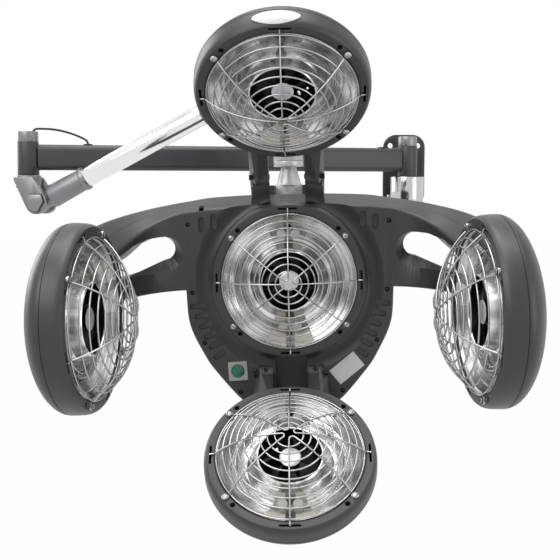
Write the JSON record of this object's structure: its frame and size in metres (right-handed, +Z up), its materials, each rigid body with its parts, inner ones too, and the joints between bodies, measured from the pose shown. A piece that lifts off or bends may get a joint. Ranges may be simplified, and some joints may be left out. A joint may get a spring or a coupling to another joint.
{
  "type": "wall-mounted hair dryer",
  "caption": "Hair dryer on a jointed wall arm: round infrared and warm-air heads behind wire guards, set round a winged hub that frames the client's head.",
  "frame": {"origin": "centre of the back face of the wall plate, on the wall", "axes": "+X to the right along the wall, +Y into the wall, +Z up"},
  "size_m": [0.627, 0.7055, 0.5667],
  "materials": {
    "dark_plastic": "fine spark-eroded texture",
    "arm_paint": "satin powder coat",
    "cast_metal": "satin cast",
    "polished_tube": "polished",
    "mirror_sheet": "spun and polished",
    "chrome_wire": "bright plated",
    "lamp_glass": "clear quartz with ceramic ends",
    "black_gloss": "gloss",
    "motor_steel": "plain",
    "steel": "plated",
    "black_rubber": "matt",
    "switch_plastic": "satin",
    "green_plastic": "translucent look",
    "board": "lacquered"
  },
  "bodies": {
    "wall": {"wall_plate": "arm_paint", "wall_post": "cast_metal"},
    "inner_arm": {"inner_arm": "arm_paint", "sleeve_caps": "cast_metal", "link_cable": "black_rubber", "cable_grommets": "black_rubber"},
    "elbow": {"elbow_fork": "arm_paint", "elbow_pin": "cast_metal"},
    "outer_arm": {"outer_arm_casting": "cast_metal", "outer_arm_collar": "cast_metal", "outer_arm_tube": "polished_tube", "arm_spring": "steel", "end_knuckle": "dark_plastic"},
    "hanger": {"hanger_housing": "polished_tube"},
    "foot": {"hanger_foot": "polished_tube"},
    "hub": {"tilt_bracket": "arm_paint", "hub_front_cover": "dark_plastic", "hub_rear_cover": "dark_plastic", "hub_screws": "steel", "switch_bezel": "switch_plastic", "control_board": "board", "centre_bezel": "dark_plastic", "centre_reflector": "mirror_sheet", "centre_lamp": "lamp_glass", "centre_motor": "motor_steel", "centre_guard": "chrome_wire"},
    "top_head": {"top_bezel": "dark_plastic", "top_reflector": "mirror_sheet", "top_lamp": "lamp_glass", "top_motor": "motor_steel", "top_guard": "chrome_wire", "top_screws": "steel", "top_shell": "dark_plastic"},
    "bottom_head": {"bottom_bezel": "dark_plastic", "bottom_reflector": "mirror_sheet", "bottom_lamp": "lamp_glass", "bottom_motor": "motor_steel", "bottom_guard": "chrome_wire", "bottom_screws": "steel", "bottom_shell": "dark_plastic"},
    "left_head": {"left_bezel": "dark_plastic", "left_reflector": "mirror_sheet", "left_lamp": "lamp_glass", "left_motor": "motor_steel", "left_guard": "chrome_wire", "left_screws": "steel", "left_shell": "dark_plastic"},
    "right_head": {"right_bezel": "dark_plastic", "right_reflector": "mirror_sheet", "right_lamp": "lamp_glass", "right_motor": "motor_steel", "right_guard": "chrome_wire", "right_screws": "steel", "right_shell": "dark_plastic"},
    "centre_rotor": {"centre_fan": "black_gloss"},
    "top_rotor": {"top_fan": "black_gloss"},
    "bottom_rotor": {"bottom_fan": "black_gloss"},
    "left_rotor": {"left_fan": "black_gloss"},
    "right_rotor": {"right_fan": "black_gloss"},
    "button": {"power_button": "green_plastic"}
  },
  "joints": [
    {"name": "wall_swivel", "type": "hinge", "parent": "wall", "child": "inner_arm", "pos_m": [0, -0.05, 0], "axis": [0, 0, 1], "range_deg": [-10, 150]},
    {"name": "elbow_swivel", "type": "hinge", "parent": "inner_arm", "child": "elbow", "pos_m": [-0.55231, -0.1949, 0], "axis": [0, 0, 1], "range_deg": [-155, 2]},
    {"name": "arm_lift", "type": "hinge", "parent": "elbow", "child": "outer_arm", "pos_m": [-0.5346, -0.19811, -0.0473], "axis": [-0.1788, -0.9839, 0], "range_deg": [-55, 4]},
    {"name": "arm_level", "type": "hinge", "parent": "outer_arm", "child": "hanger", "pos_m": [-0.18935, -0.26086, 0.13188], "axis": [-0.1788, -0.9839, 0], "range_deg": [-4, 55]},
    {"name": "hub_swivel", "type": "hinge", "parent": "hanger", "child": "foot", "pos_m": [-0.18661, -0.26136, 0.00891], "axis": [-0.0223, 0.0041, 0.9997], "range_deg": [-45, 45]},
    {"name": "hub_tilt", "type": "hinge", "parent": "foot", "child": "hub", "pos_m": [-0.1856, -0.26154, -0.03608], "axis": [0.9993, -0.0296, 0.0224], "range_deg": [-20, 20]},
    {"name": "top_head_hinge", "type": "hinge", "parent": "hub", "child": "top_head", "pos_m": [-0.18965, -0.38039, -0.01268], "axis": [0.9993, -0.0296, 0.0224], "range_deg": [-20, 25]},
    {"name": "bottom_head_hinge", "type": "hinge", "parent": "hub", "child": "bottom_head", "pos_m": [-0.18435, -0.38538, -0.2556], "axis": [0.9993, -0.0296, 0.0224], "range_deg": [-25, 20]},
    {"name": "left_head_hinge", "type": "hinge", "parent": "hub", "child": "left_head", "pos_m": [-0.40524, -0.48041, -0.12512], "axis": [-0.0223, 0.0041, 0.9997], "range_deg": [-20, 20]},
    {"name": "right_head_hinge", "type": "hinge", "parent": "hub", "child": "right_head", "pos_m": [0.02446, -0.49315, -0.11547], "axis": [-0.0223, 0.0041, 0.9997], "range_deg": [-20, 20]},
    {"name": "centre_fan_spin", "type": "hinge", "parent": "hub", "child": "centre_rotor", "pos_m": [-0.18697, -0.38691, -0.14063], "axis": [-0.0297, -0.9996, 0.0034], "continuous": true},
    {"name": "top_fan_spin", "type": "hinge", "parent": "top_head", "child": "top_rotor", "pos_m": [-0.19531, -0.50595, 0.07333], "axis": [-0.0039, -0.6847, -0.7289], "continuous": true},
    {"name": "bottom_fan_spin", "type": "hinge", "parent": "bottom_head", "child": "bottom_rotor", "pos_m": [-0.18681, -0.51766, -0.3204], "axis": [-0.0363, -0.6527, 0.7567], "continuous": true},
    {"name": "left_fan_spin", "type": "hinge", "parent": "left_head", "child": "left_rotor", "pos_m": [-0.38449, -0.59843, -0.15818], "axis": [0.9882, -0.1512, 0.0227], "continuous": true},
    {"name": "right_fan_spin", "type": "hinge", "parent": "right_head", "child": "right_rotor", "pos_m": [-0.00173, -0.60978, -0.14959], "axis": [-0.9955, -0.0924, -0.0219], "continuous": true},
    {"name": "button_press", "type": "slide", "parent": "hub", "child": "button", "axis": [0.0297, 0.9996, -0.0034], "range_m": [0, 0.0025], "stiffness_N_per_m": 400}
  ],
  "couplings": [
    {"joint": "arm_level", "follows": "arm_lift", "ratio": -1}
  ]
}
